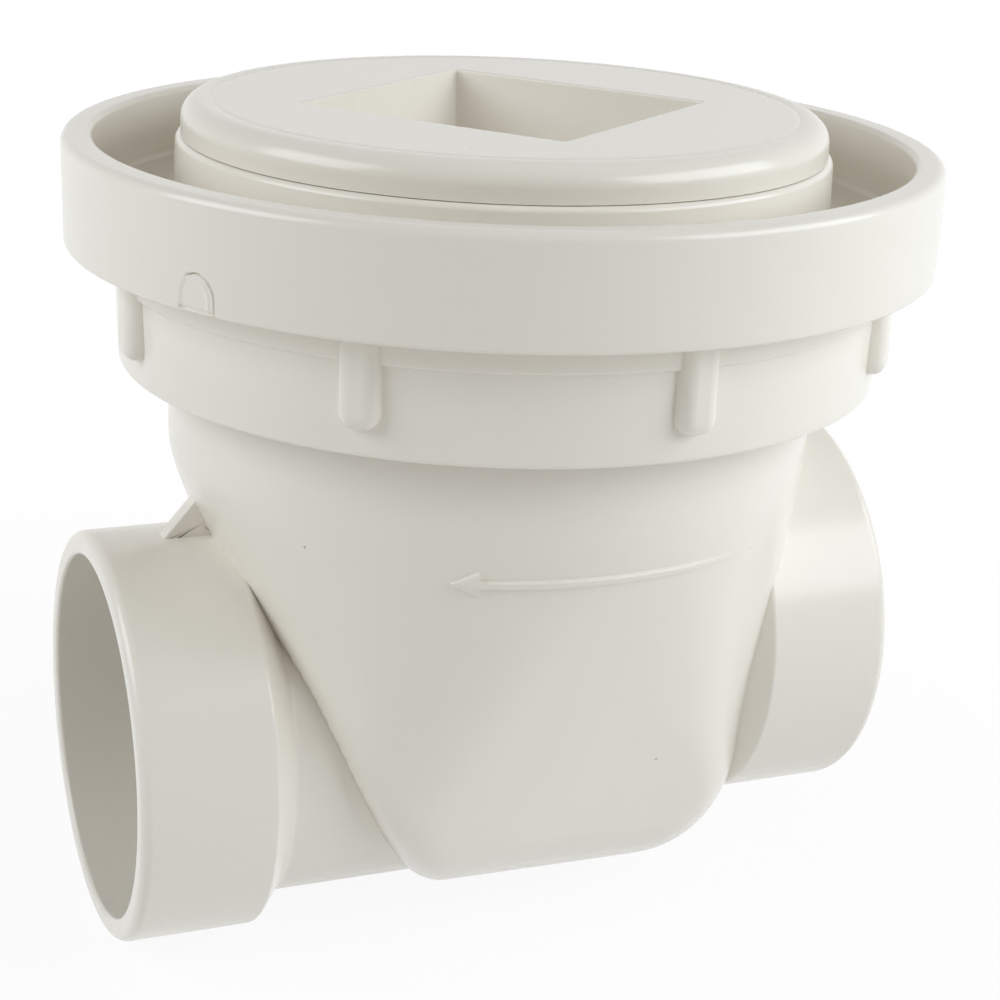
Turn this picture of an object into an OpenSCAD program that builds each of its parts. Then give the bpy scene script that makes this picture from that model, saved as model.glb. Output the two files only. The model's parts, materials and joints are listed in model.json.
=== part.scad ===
// Backwater valve for 3 inch drain pipe, in millimetres.
// The origin is the centre of the outlet socket's mouth. +X runs upstream to the inlet, +Z is up.

/* [Pipe sockets] */
// Outside diameter of the pipe that is cemented into each socket
pipe_od = 88.9; // [87:0.1:91]
// Radial play of the pipe in its socket
socket_play = 0.3; // [0.1:0.05:0.5]
// Depth of each socket, from its mouth to the pipe stop
socket_depth = 28.5; // [24:0.5:30]
// Wall around each socket
hub_wall = 5.85; // [5:0.05:7]
// Length of each hub, from its mouth to its shoulder
hub_len = 32.4; // [32:0.1:34]
// Diameter of the waterway through the valve
bore_d = 77; // [75:0.5:78]
// Wall of the stub behind each hub
stub_wall = 5; // [4:0.1:5.5]
// Length of the cone between each hub's shoulder and its stub
shoulder_l = 6; // [3:0.1:8]
// Rounding of the hubs' outer edges
hub_round = 1.5; // [0.5:0.1:2.5]

/* [Chamber] */
// Distance from the outlet mouth to the axis of the access opening
outlet_reach = 102.5; // [100:0.5:108]
// Distance from the axis of the access opening to the inlet mouth
inlet_reach = 90.1; // [88:0.1:94]
// Height of the inlet's axis above the outlet's axis
inlet_rise = 19; // [17:0.5:20]
// Outside radius of the chamber under the collar
chamber_r = 79.3; // [78.5:0.1:81]
// Wall of the chamber
chamber_wall = 5; // [4:0.1:5.5]
// Height where the bowl starts to curve in
bowl_z = 72.5; // [70:0.5:76]
// Radius of the bowl's curved shoulder
bowl_round = 24.5; // [20:0.5:27]
// Offset of the bowl's widest ring towards the outlet
bowl_shift = 1.6; // [0:0.1:2]
// Extra radius of the trough over the stub
trough_extra = 3.8; // [3:0.05:4.5]
// Drop of the trough's axis below the outlet's axis
trough_drop = 1; // [0.5:0.1:4]
// Reach of the trough from the access axis towards the outlet
trough_tail = 50.2; // [48:0.1:52]
// Lean of the trough's outlet end from upright
tail_lean = 24.7; // [22:0.1:27]
// Rounding of the trough's outlet end
tail_round = 10; // [6:0.5:14]
// Reach of the trough from the access axis towards the inlet
trough_nose = 61.7; // [58:0.1:64]
// Rounding of the trough's inlet end
nose_round = 25; // [20:0.5:30]
// Thickness of the gusset on the outlet hub
gusset_w = 4.6; // [3:0.1:7]
// Height of the gusset above the hub
gusset_h = 10.4; // [7:0.1:12]
// Reach of the gusset along the hub from the hub's shoulder
gusset_l = 15.4; // [12:0.1:18]
// Run of the gusset's sloping edge
gusset_run = 8.5; // [5:0.1:11]

/* [Access collar] */
// Height of the band's lower edge above the outlet's axis
band_z = 91; // [88:0.5:94]
// Depth of the collar from the chamber's wall to the band's lower edge
collar_depth = 13.2; // [12:0.05:15]
// Draft of the band over its height
band_draft = 0.75; // [0:0.05:1]
// Height of the band
band_h = 21.2; // [19:0.1:23]
// Step of the strip over the band's upper edge
strip_proud = 1.2; // [0.5:0.1:2]
// Height of the strip
strip_h = 7.4; // [5:0.1:9]
// Reach of the rim's outside over the strip, at the rim's top
rim_reach = 11; // [9:0.1:14]
// Draft of the rim's outside over its height
rim_draft = 0.3; // [0:0.05:1]
// Height of the rim
rim_h = 25.6; // [22:0.1:29]
// Wall of the rim
rim_wall = 7.3; // [6:0.1:8]
// Height of the channel's floor above the rim's underside
floor_rise = 8.8; // [7:0.1:11]
// Rounding of the rim's edges
rim_round = 2.2; // [1:0.1:3]
// Wall of the band, and of the sleeve inside it
collar_wall = 4.5; // [3.5:0.1:5]
// Number of ribs on the band
rib_count = 8; // [4:1:12]
// Width of each rib
rib_w = 10.4; // [7:0.1:13]
// Depth of each rib over the strip
rib_proud = 2.2; // [1:0.1:3]
// Height of the ribs' lower ends above the band's lower edge
rib_lift = 6.5; // [4:0.1:9]
// Angle of the first rib from +X
rib_turn = 5.4; // [0:0.1:44]

/* [Threaded neck] */
// Height of the joint between chamber and neck above the band's lower edge
neck_joint = 21; // [16:0.5:24]
// Height of the neck's top above the channel's floor
neck_rise = 15.4; // [13:0.1:18]
// Draft of the neck's outside over its height
neck_draft = 0.5; // [0:0.05:1]
// Wall of the neck at the thread's root
neck_wall = 5.2; // [4.5:0.1:6]
// Lead of the plug's thread
thread_pitch = 6.35; // [6:0.01:7]
// Depth of each thread ridge
thread_depth = 2.3; // [1.8:0.1:2.4]
// Radial gap between a ridge's crest and the wall it faces
thread_gap = 0.7; // [0.6:0.05:0.9]
// Width of a thread ridge at its foot
ridge_foot = 3.2; // [2.6:0.1:3.4]
// Width of a thread ridge at its crest
ridge_crest = 1.8; // [1.4:0.1:2.2]
// Turns of each thread
thread_turns = 2.5; // [2:0.25:2.75]

/* [Cleanout plug] */
// Overlap of the plug's head on the neck's top
head_lip = 4; // [3:0.1:5]
// Height of the plug's head
head_h = 8.4; // [7:0.1:10]
// Rounding of the head's top edge
head_round = 5; // [3:0.1:6]
// Length of the plug's threaded shank
shank_l = 22; // [21:0.5:24]
// Wall of the shank, the head and the recess
plug_wall = 5; // [4:0.1:5.5]
// Side of the square recess
recess_side = 70; // [55:0.5:72]
// Depth of the square recess
recess_depth = 24; // [18:0.5:24]
// Turn of the square recess about the plug's axis
recess_turn = 38; // [0:1:89]
// Thickness of the gasket under the plug's head
gasket_t = 1; // [0.8:0.1:2]
// Inset of the gasket from the head's edge
gasket_inset = 0.6; // [0.3:0.1:2]

/* [Seat and hinge] */
// Tilt of the seat from upright
seat_tilt = 15; // [12:0.5:17]
// Distance from the inlet hub's shoulder to the seat, on the inlet's axis
seat_set = 33.1; // [31:0.1:35]
// Height of the hinge pin above the flapper's edge, along the seat
hinge_lift = 10; // [9:0.1:11]
// Distance of the hinge pin in front of the seat
hinge_out = 6; // [5:0.1:7]
// Radius of the hinge pin
pin_r = 3; // [2:0.05:3.5]
// Running play of the flapper on its pin, in the radius
pin_play = 0.06; // [0.03:0.01:0.09]
// Radius of the hinge ears and knuckles
ear_r = 7; // [6:0.1:7]
// Thickness of each hinge ear
ear_t = 6; // [4:0.1:7]
// Half of the width over the flapper's two arms
arm_reach = 17.5; // [16:0.1:18.5]
// Thickness of each flapper arm
arm_t = 7.5; // [5:0.1:8]
// Side play between an arm and its ear
arm_play = 0.5; // [0.3:0.05:1]
// Height of the saddle's pad above the inlet stub
pad_h = 2.6; // [2:0.1:4]
// Thickness of the saddle's foot
saddle_t = 4; // [3:0.1:4.5]
// Gap between the knuckles and the saddle's foot
knuckle_gap = 1; // [0.5:0.1:2]
// Thickness of each pin clip
clip_t = 1; // [0.6:0.1:1.5]
// Width of each pin clip around the pin
clip_w = 2.4; // [1.5:0.1:3]
// Largest angle that the flapper opens to
open_angle = 72; // [60:1:75]
// Length of the stop finger from the hinge's axis
stop_l = 14; // [12:0.1:16]
// Gap between the stop finger and the saddle's foot in the open valve
stop_gap = 0.3; // [0.2:0.05:0.6]

/* [Flapper] */
// Inset of the flapper's edge from the inlet stub's outside
flapper_inset = 0.45; // [0:0.05:2]
// Thickness of the flapper's disc
flapper_t = 5; // [4:0.1:6]
// Height of the flapper's arms over its disc
arm_rise = 9; // [6:0.1:11]
// Thickness of the rubber seal
seal_t = 3; // [2:0.1:4]
// Width of the rubber seal
seal_w = 13; // [11:0.1:15]
// Gap between seal and seat in the closed valve
seat_gap = 0.2; // [0.1:0.05:0.4]
// Inset of the seal's edge from the flapper's edge
seal_inset = 0.8; // [0.4:0.1:1.2]
// Inset of the retainer plate from the inlet's bore
plate_inset = 2.5; // [2:0.1:4]
// Thickness of the retainer plate
plate_t = 2.5; // [1.5:0.1:3]

/* [Screws] */
// Number of screws in the retainer plate
screw_count = 6; // [4:1:8]
// Radius of the screws' shanks
screw_r = 2; // [1.5:0.1:2.2]
// Radius of the screws' heads
screw_head_r = 3.5; // [3:0.1:3.8]
// Height of the screws' heads
screw_head_h = 2.2; // [1.5:0.1:2.8]
// Depth of the screws in the plastic under the piece they hold
screw_bite = 5; // [4:0.1:5.5]
// Land between a screw's head and the nearest edge
screw_land = 1; // [0.5:0.1:2]

/* [Hidden] */

PVC = [0.91, 0.90, 0.87];
RUBBER = [0.16, 0.16, 0.17];
STEEL = [0.72, 0.73, 0.74];

$fn = 96;
// Sides of the rings that the chamber's skin is stretched over
skin_fn = 36;
// Thickness of those rings
skin_slice = 0.5;
// Loss of radius from a ring's outer face to its inner one, which leaves one edge to shape the skin
skin_taper = 2;
// Overrun of a cut past the face it opens
cut = 1;
// Cement line between glued pieces, and slip of a screw in its hole
cement = 0.05;
// Segments in one turn of a thread
thread_segments = 36;
// Sink of a thread ridge into the wall that carries it
thread_sink = 1;
// Segments over which a thread ridge runs out
thread_fade = 6;
// Height of a ridge at the very end of its run-out, as a share of its depth
thread_tip = 0.15;

socket_r = pipe_od / 2 + socket_play;
hub_r = socket_r + hub_wall;
bore_r = bore_d / 2;
stub_r = bore_r + stub_wall;
inlet_mouth_x = outlet_reach + inlet_reach;
inlet_shoulder_x = inlet_mouth_x - hub_len;

trough_r = stub_r + trough_extra;
joint_z = band_z + neck_joint;
strip_z = band_z + band_h;
rim_z = strip_z + strip_h;
rim_top = rim_z + rim_h;
floor_z = rim_z + floor_rise;
neck_top = floor_z + neck_rise;
collar_bore = chamber_r + cement;
neck_bore = chamber_r - neck_draft - neck_wall;
band_r = collar_bore + collar_depth;
strip_r = band_r + band_draft + strip_proud;
rim_r = strip_r + rim_reach;
rib_r = strip_r + rib_proud;

head_r = neck_bore + head_lip;
head_z = neck_top + gasket_t;
plug_top = head_z + head_h;
shank_z = head_z - shank_l;
plug_crest = neck_bore - thread_gap;
plug_core = plug_crest - thread_depth;
neck_crest = plug_core + thread_gap;
plug_thread_z = shank_z + ridge_foot;
neck_thread_z = plug_thread_z - thread_pitch / 2;

seat_x = inlet_shoulder_x - seat_set;
flapper_r = stub_r - flapper_inset;
hinge_up = flapper_r + hinge_lift;
hinge_x = seat_x + hinge_up * sin(seat_tilt) - hinge_out * cos(seat_tilt);
hinge_z = inlet_rise + hinge_up * cos(seat_tilt) + hinge_out * sin(seat_tilt);
pad_z = inlet_rise + stub_r + pad_h;
foot_top = pad_z + saddle_t;
foot_x = hinge_x + ear_r + knuckle_gap;
saddle_l = inlet_shoulder_x - shoulder_l - foot_x;
ear_in = arm_reach + arm_play;
ear_out = ear_in + ear_t;
clip_r = pin_r + clip_w;
pin_end = ear_out + cement + clip_t + pin_r;
stop_half = hinge_z - foot_top - stop_gap;

disc_z = seat_gap + seal_t;
disc_top = disc_z + flapper_t;
seal_out = flapper_r - seal_inset;
seal_in = seal_out - seal_w;
plate_r = bore_r - plate_inset;
screw_circle = seal_in - screw_head_r - screw_land;
saddle_screw_x = foot_x + saddle_l - screw_head_r - screw_land;
saddle_screw_y = (arm_reach - arm_t) / 2;

// Points of an arc about [x, y], from angle a0 to angle a1
function arc(x, y, r, a0, a1, steps = 4) =
    [for (i = [0:steps]) let (a = a0 + (a1 - a0) * i / steps) [x + r * cos(a), y + r * sin(a)]];

// Height of a thread ridge at step i of n, as a share of its full depth
function ridge_share(i, n) = max(thread_tip, min(1, i / thread_fade, (n - i) / thread_fade));

// Cylinder along X from x0 to x1, about the axis at height z
module rod_x(r, x0, x1, z = 0) {
    translate([x0, 0, z])
        rotate([0, 90, 0])
            cylinder(r = r, h = x1 - x0);
}

// Cylinder along Y between -half and half, in the plane of the children's frame
module rod_y(r, half) {
    rotate([90, 0, 0])
        cylinder(r = r, h = 2 * half, center = true);
}

// Children placed on the access axis
module on_access() {
    translate([outlet_reach, 0, 0])
        children();
}

// Children placed on the seat: +X up the seat, +Z away from it into the chamber
module on_seat() {
    translate([seat_x, 0, inlet_rise])
        rotate([0, seat_tilt - 90, 0])
            children();
}

// Children placed twice, mirrored across the valve's middle plane
module both_sides() {
    children();
    mirror([0, 1, 0])
        children();
}

// Hub with its mouth at the origin, running along +Z to its stub, not yet bored, grown all round
module hub_blank(grow = 0) {
    edge = hub_r + grow - hub_round;
    rotate_extrude()
        polygon(concat(
            [[0, 0]],
            arc(edge, hub_round, hub_round, -90, 0),
            [[hub_r + grow, hub_len], [stub_r + grow, hub_len + shoulder_l], [0, hub_len + shoulder_l]]
        ));
}

// Helical ridge between radii r0 and r1, from height z up, foot and crest in axial width
module ridge(r0, r1, z, w0, w1) {
    n = thread_turns * thread_segments;
    outward = r1 > r0;
    foot = outward ? r0 - thread_sink : r0 + thread_sink;
    function crest(i) = r0 + (r1 - r0) * ridge_share(i, n);
    function at(r, h, i) =
        [r * cos(360 * i / thread_segments), r * sin(360 * i / thread_segments),
         z + thread_pitch * i / thread_segments + h];
    rings = [for (i = [0:n]) outward
        ? [at(foot, -w0 / 2, i), at(crest(i), -w1 / 2, i), at(crest(i), w1 / 2, i), at(foot, w0 / 2, i)]
        : [at(crest(i), -w1 / 2, i), at(foot, -w0 / 2, i), at(foot, w0 / 2, i), at(crest(i), w1 / 2, i)]];
    sides = [for (i = [0:n - 1], j = [0:3], half = [0, 1])
        let (a = 4 * i + j, b = 4 * i + (j + 1) % 4)
        half == 0 ? [a, b, b + 4] : [a, b + 4, a + 4]];
    start_cap = [[3, 2, 1], [3, 1, 0]];
    end_cap = [for (face = [[0, 1, 2], [0, 2, 3]]) [for (k = face) 4 * n + k]];
    polyhedron(
        points = [for (ring = rings, p = ring) p],
        faces = concat(start_cap, sides, end_cap)
    );
}

// Skin of the chamber: a round bowl drawn down to a trough along X that leans at its outlet end, taken in by
// shrink
module chamber_skin(shrink) {
    tail = outlet_reach - trough_tail + shrink;
    nose = outlet_reach + trough_nose - shrink;
    module slice(r) {
        cylinder(r1 = r - shrink, r2 = r - shrink - skin_taper, h = skin_slice, $fn = skin_fn);
    }
    module leaning_ring(r, x) {
        lean = -tan(tail_lean);
        multmatrix([[1, 0, lean, x], [0, 1, 0, 0], [0, 0, 1, -trough_drop], [0, 0, 0, 1]])
            rotate([0, 90, 0])
                slice(r);
    }
    hull() {
        translate([outlet_reach, 0, band_z + cut])
            mirror([0, 0, 1])
                slice(chamber_r - cement);
        for (a = [0:22.5:90])
            translate([outlet_reach - bowl_shift, 0, bowl_z - bowl_round * sin(a)])
                slice(chamber_r - cement - bowl_round * (1 - cos(a)));
        for (a = [0:22.5:90])
            leaning_ring(trough_r - tail_round * (1 - cos(a)), tail + tail_round * (1 - sin(a)));
        for (a = [0:22.5:90])
            translate([nose - nose_round * (1 - sin(a)), 0, -trough_drop])
                rotate([0, -90, 0])
                    slice(trough_r - nose_round * (1 - cos(a)));
    }
}

// Thin web between the outlet hub's top and the chamber
module gusset() {
    foot = hub_len - gusset_l;
    translate([0, gusset_w / 2, 0])
        rotate([90, 0, 0])
            linear_extrude(gusset_w)
                polygon([
                    [foot, hub_r - hub_round],
                    [foot, hub_r],
                    [foot + gusset_run, hub_r + gusset_h],
                    [hub_len, hub_r + gusset_h],
                    [hub_len, hub_r - hub_round],
                ]);
}

module valve_body() {
    color(PVC)
        difference() {
            union() {
                rotate([0, 90, 0])
                    hub_blank();
                rod_x(stub_r, hub_len, outlet_reach);
                chamber_skin(0);
                on_access()
                    translate([0, 0, band_z])
                        cylinder(r = chamber_r, h = neck_joint);
                gusset();
            }
            chamber_skin(chamber_wall);
            on_access()
                translate([0, 0, band_z])
                    cylinder(r = chamber_r - chamber_wall, h = neck_joint + cut);
            rod_x(socket_r, -cut, socket_depth);
            rod_x(bore_r, socket_depth - cut, outlet_reach);
            rod_x(stub_r + cement, outlet_reach, inlet_mouth_x, inlet_rise);
            translate([inlet_mouth_x, 0, inlet_rise])
                rotate([0, -90, 0])
                    hub_blank(cement);
        }
}

module inlet_hub() {
    color(PVC)
        difference() {
            union() {
                translate([inlet_mouth_x, 0, inlet_rise])
                    rotate([0, -90, 0])
                        hub_blank();
                rod_x(stub_r, seat_x - stub_r, inlet_shoulder_x, inlet_rise);
                translate([foot_x, -ear_out, inlet_rise])
                    cube([inlet_shoulder_x - foot_x, 2 * ear_out, pad_z - inlet_rise]);
            }
            rod_x(socket_r, inlet_mouth_x - socket_depth, inlet_mouth_x + cut, inlet_rise);
            rod_x(bore_r, seat_x - hub_len - stub_r, inlet_mouth_x, inlet_rise);
            on_seat()
                translate([-stub_r * 2, -stub_r * 2, 0])
                    cube(stub_r * 4);
            both_sides()
                translate([saddle_screw_x, saddle_screw_y, pad_z - screw_bite - cement])
                    cylinder(r = screw_r + cement, h = screw_bite + cut);
        }
}

module access_collar() {
    rim_in = rim_r - rim_wall;
    foot_r = rim_r - rim_draft;
    sleeve_r = collar_bore + collar_wall;
    band_in = band_r - collar_wall;
    groove_z = floor_z - collar_wall;
    profile = concat(
        [[collar_bore, band_z], [sleeve_r, band_z], [sleeve_r, groove_z], [band_in, groove_z], [band_in, band_z],
         [band_r, band_z], [band_r + band_draft, strip_z], [strip_r, strip_z], [strip_r, rim_z]],
        arc(foot_r - rim_round, rim_z + rim_round, rim_round, -90, 0),
        arc(rim_r - rim_round, rim_top - rim_round, rim_round, 0, 90),
        arc(rim_in + rim_round, rim_top - rim_round, rim_round, 90, 180),
        [[rim_in, floor_z], [collar_bore, floor_z]]
    );
    module rib() {
        tip_z = band_z + rib_lift + rib_w / 2;
        intersection() {
            union() {
                translate([0, 0, tip_z])
                    rotate([0, 90, 0])
                        cylinder(d = rib_w, h = rim_r);
                translate([0, -rib_w / 2, tip_z])
                    cube([rim_r, rib_w, rim_z + rim_round - tip_z]);
            }
            difference() {
                cylinder(r = rib_r, h = rim_top);
                translate([0, 0, -cut])
                    cylinder(r = band_r - collar_wall / 2, h = rim_top + 2 * cut);
            }
        }
    }
    color(PVC)
        on_access() {
            rotate_extrude()
                polygon(profile);
            for (i = [0:rib_count - 1])
                rotate(rib_turn + 360 * i / rib_count)
                    rib();
        }
}

module threaded_neck() {
    color(PVC)
        on_access() {
            rotate_extrude()
                polygon(concat(
                    [[neck_bore, joint_z], [chamber_r, joint_z], [chamber_r, floor_z]],
                    arc(chamber_r - neck_draft - cut, neck_top - cut, cut, 0, 90),
                    [[neck_bore, neck_top]]
                ));
            ridge(neck_bore, neck_crest, neck_thread_z, ridge_foot, ridge_crest);
        }
}

module cleanout_plug() {
    edge = head_r - head_round;
    shell = concat(
        [[0, plug_top - plug_wall], [plug_core - plug_wall, plug_top - plug_wall],
         [plug_core - plug_wall, shank_z], [plug_core, shank_z], [plug_core, head_z], [head_r, head_z]],
        arc(edge, plug_top - head_round, head_round, 0, 90, 6),
        [[0, plug_top]]
    );
    box_side = recess_side + 2 * plug_wall;
    box_h = recess_depth + plug_wall;
    color(PVC)
        on_access()
            difference() {
                union() {
                    rotate_extrude()
                        polygon(shell);
                    rotate(recess_turn)
                        translate([-box_side / 2, -box_side / 2, plug_top - box_h])
                            cube([box_side, box_side, box_h - plug_wall / 2]);
                    ridge(plug_core, plug_crest, plug_thread_z, ridge_foot, ridge_crest);
                }
                rotate(recess_turn)
                    translate([-recess_side / 2, -recess_side / 2, plug_top - recess_depth])
                        cube([recess_side, recess_side, recess_depth + cut]);
            }
}

module plug_gasket() {
    color(RUBBER)
        on_access()
            translate([0, 0, neck_top])
                difference() {
                    cylinder(r = head_r - gasket_inset, h = gasket_t);
                    translate([0, 0, -cut])
                        cylinder(r = neck_bore, h = gasket_t + 2 * cut);
                }
}

// Ear of the saddle, in the plane of the hinge
module ear() {
    translate([0, ear_out, 0])
        rotate([90, 0, 0])
            linear_extrude(ear_t) {
                polygon([
                    [hinge_x, hinge_z - ear_r],
                    [foot_x, pad_z],
                    [foot_x + saddle_l, pad_z],
                    [foot_x + saddle_l, foot_top],
                    [hinge_x, hinge_z + ear_r],
                ]);
                translate([hinge_x, hinge_z])
                    circle(r = ear_r);
            }
}

module hinge_saddle() {
    color(PVC)
        difference() {
            union() {
                translate([foot_x, -ear_out, pad_z])
                    cube([saddle_l, 2 * ear_out, saddle_t]);
                both_sides()
                    ear();
            }
            translate([hinge_x, 0, hinge_z])
                rod_y(pin_r + cement / 2, ear_out + cut);
            both_sides()
                translate([saddle_screw_x, saddle_screw_y, pad_z - cut])
                    cylinder(r = screw_r + cement, h = saddle_t + 2 * cut);
        }
}

// Screw with the underside of its head at the origin and its shank along -Z
module screw(shank) {
    difference() {
        union() {
            translate([0, 0, -shank])
                cylinder(r = screw_r, h = shank + screw_head_h / 2);
            cylinder(r = screw_head_r, h = screw_head_h);
        }
        translate([0, 0, screw_head_h / 2])
            cylinder(r = screw_head_r / 2, h = screw_head_h, $fn = 6);
    }
}

module saddle_screws() {
    color(STEEL)
        both_sides()
            translate([saddle_screw_x, saddle_screw_y, foot_top])
                screw(saddle_t + screw_bite);
}

module hinge_pin() {
    color(STEEL)
        translate([hinge_x, 0, hinge_z])
            rod_y(pin_r, pin_end);
}

module pin_clips() {
    color(STEEL)
        both_sides()
            translate([hinge_x, ear_out + cement + clip_t, hinge_z])
                rotate([90, 0, 0])
                    linear_extrude(clip_t)
                        difference() {
                            circle(r = clip_r);
                            circle(r = pin_r + cement / 2);
                            translate([-pin_r / 2, 0])
                                square([pin_r, clip_r + cut]);
                        }
}

// Arm of the flapper with its knuckle and stop finger, in the plane of the hinge
module arm() {
    translate([0, arm_reach, 0])
        rotate([90, 0, 0])
            linear_extrude(arm_t) {
                polygon([
                    [-flapper_r / 2, disc_top - cut],
                    [-flapper_r / 2, disc_top + cut],
                    [flapper_r / 2, disc_top + arm_rise],
                    [hinge_up, hinge_out + ear_r],
                    [hinge_up, hinge_out - ear_r],
                    [flapper_r, disc_z],
                    [flapper_r / 2, disc_top - cut],
                ]);
                translate([hinge_up, hinge_out])
                    circle(r = ear_r);
                translate([hinge_up, hinge_out])
                    rotate(seat_tilt - 90 + open_angle)
                        translate([0, -stop_half])
                            square([stop_l, 2 * stop_half]);
            }
}

module flapper() {
    color(PVC)
        on_seat()
            difference() {
                union() {
                    translate([0, 0, disc_z])
                        cylinder(r = flapper_r, h = flapper_t);
                    translate([0, 0, seat_gap])
                        cylinder(r = seal_in - cement, h = seal_t + cut);
                    both_sides()
                        arm();
                }
                translate([hinge_up, 0, hinge_out])
                    rod_y(pin_r + pin_play, arm_reach + cut);
                for (i = [0:screw_count - 1])
                    rotate(360 * i / screw_count)
                        translate([screw_circle, 0, seat_gap - cut])
                            cylinder(r = screw_r + cement, h = screw_bite + cut + cement);
            }
}

module flapper_seal() {
    color(RUBBER)
        on_seat()
            translate([0, 0, seat_gap])
                difference() {
                    cylinder(r = seal_out, h = seal_t);
                    translate([0, 0, -cut])
                        cylinder(r = seal_in, h = seal_t + 2 * cut);
                }
}

module seal_retainer() {
    color(STEEL)
        on_seat()
            difference() {
                translate([0, 0, seat_gap - plate_t])
                    cylinder(r = plate_r, h = plate_t);
                for (i = [0:screw_count - 1])
                    rotate(360 * i / screw_count)
                        translate([screw_circle, 0, seat_gap - plate_t - cut])
                            cylinder(r = screw_r + cement, h = plate_t + 2 * cut);
            }
}

module retainer_screws() {
    color(STEEL)
        on_seat()
            for (i = [0:screw_count - 1])
                rotate(360 * i / screw_count)
                    translate([screw_circle, 0, seat_gap - plate_t])
                        mirror([0, 0, 1])
                            screw(plate_t + screw_bite);
}

valve_body();
inlet_hub();
access_collar();
threaded_neck();
cleanout_plug();
plug_gasket();
hinge_saddle();
saddle_screws();
hinge_pin();
pin_clips();
flapper();
flapper_seal();
seal_retainer();
retainer_screws();
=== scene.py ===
"""Backwater valve for a 3 inch drain pipe: its looks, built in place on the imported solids."""

import json

import bpy
import bmesh
import numpy as np
from mathutils import Matrix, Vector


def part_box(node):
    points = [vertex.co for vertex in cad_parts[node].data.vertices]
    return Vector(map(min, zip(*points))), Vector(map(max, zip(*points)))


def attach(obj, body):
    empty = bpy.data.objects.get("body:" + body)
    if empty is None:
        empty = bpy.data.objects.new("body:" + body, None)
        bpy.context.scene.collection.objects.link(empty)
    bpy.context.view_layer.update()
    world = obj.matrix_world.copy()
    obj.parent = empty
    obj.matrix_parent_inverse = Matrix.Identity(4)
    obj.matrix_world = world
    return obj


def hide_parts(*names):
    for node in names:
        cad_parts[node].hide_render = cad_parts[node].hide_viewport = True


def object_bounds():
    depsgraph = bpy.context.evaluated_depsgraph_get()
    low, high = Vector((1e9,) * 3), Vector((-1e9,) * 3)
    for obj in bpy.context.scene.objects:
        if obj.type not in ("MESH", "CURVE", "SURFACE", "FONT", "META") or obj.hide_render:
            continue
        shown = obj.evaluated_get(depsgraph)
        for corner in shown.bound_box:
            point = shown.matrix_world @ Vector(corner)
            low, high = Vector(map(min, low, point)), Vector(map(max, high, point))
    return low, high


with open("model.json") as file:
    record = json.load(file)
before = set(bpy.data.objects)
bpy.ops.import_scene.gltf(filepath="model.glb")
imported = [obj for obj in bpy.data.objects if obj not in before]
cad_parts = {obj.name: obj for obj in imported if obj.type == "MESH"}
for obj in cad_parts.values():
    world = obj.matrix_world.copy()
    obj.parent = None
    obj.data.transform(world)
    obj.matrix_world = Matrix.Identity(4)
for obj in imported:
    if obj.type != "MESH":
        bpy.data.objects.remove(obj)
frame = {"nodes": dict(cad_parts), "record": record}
cad_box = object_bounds()

# Camera. It stands in front of the outlet end and a little above the collar, with a long lens,
# and it is rolled by the few degrees that the valve leans in the picture.
MM = 0.001
PICTURE_PIXELS = 1000
SENSOR = 36.0
FOCAL_PIXELS = 2336.6
VIEW_AZIMUTH = -22.667
VIEW_ELEVATION = 19.117
VIEW_ROLL = 2.491
VIEW_DISTANCE = 595.34
VIEW_TARGET = np.array([105.39, 0.0, 51.73])


def bearing(azimuth, elevation):
    """Unit vector from the object to a viewer: azimuth turns from the front, and elevation rises from the
    horizon."""
    a, e = np.radians([azimuth, elevation])
    return np.array([np.sin(a) * np.cos(e), -np.cos(a) * np.cos(e), np.sin(e)])


def aimed(location, back, roll=0.0):
    """Matrix of a camera or lamp at location, in millimetres, with back pointing away from what it faces."""
    right = np.cross([0, 0, 1], back)
    right /= np.linalg.norm(right)
    up = np.cross(back, right)
    c, s = np.cos(np.radians(roll)), np.sin(np.radians(roll))
    matrix = np.eye(4)
    matrix[:3, :3] = np.stack([c * right + s * up, c * up - s * right, back], axis=1)
    matrix[:3, 3] = np.asarray(location) * MM
    return Matrix(matrix.tolist())


back = bearing(VIEW_AZIMUTH, VIEW_ELEVATION)
camera = bpy.data.objects.new("camera", bpy.data.cameras.new("camera"))
camera.data.sensor_width = SENSOR
camera.data.lens = FOCAL_PIXELS * SENSOR / PICTURE_PIXELS
camera.data.clip_start = 0.01
camera.matrix_world = aimed(VIEW_TARGET + VIEW_DISTANCE * back, back, VIEW_ROLL)
bpy.context.scene.collection.objects.link(camera)
bpy.context.scene.camera = camera


# Valve body. One injection moulding of white PVC: a bowl under the access opening that is drawn down to a
# trough along the flow, with the outlet stub and its pipe hub on the front end. The hub's wall is turned,
# the bowl is the skin stretched over round formers, and the two meet in a deep crease at its leaning end.
mounts = {mount["name"]: mount for mount in frame["record"]["mounts"]}


def corners(node):
    """Lowest and highest corner of a solid, in millimetres."""
    return np.array(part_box(node)) / MM


body_high = corners("valve_body")[1]
collar_low, collar_high = corners("access_collar")
inlet_high = corners("inlet_hub")[1]
ACCESS_X = (collar_low[0] + collar_high[0]) / 2
INLET_Z = mounts["inlet_socket"]["pos_m"][2] / MM
SOCKET_R = mounts["outlet_socket"]["dims"]["r_mm"]
SOCKET_DEPTH = mounts["outlet_socket"]["dims"]["length_mm"]
HUB_R = inlet_high[1]
HUB_LENGTH = 32.4
SHOULDER = 6.0
STUB_R = 43.5
BORE_R = 38.5
MOUTH_ROUND = 2.6
CHAMBER_R = 79.3
CHAMBER_WALL = 5.0
BAND_Z = collar_low[2]
SPIGOT_TOP = body_high[2]
BOWL_Z = 72.5
BOWL_ROUND = 24.5
BOWL_SHIFT = 1.6
TROUGH_R = 47.3
TROUGH_DROP = 1.0
TAIL_X = ACCESS_X - 48.8
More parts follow.
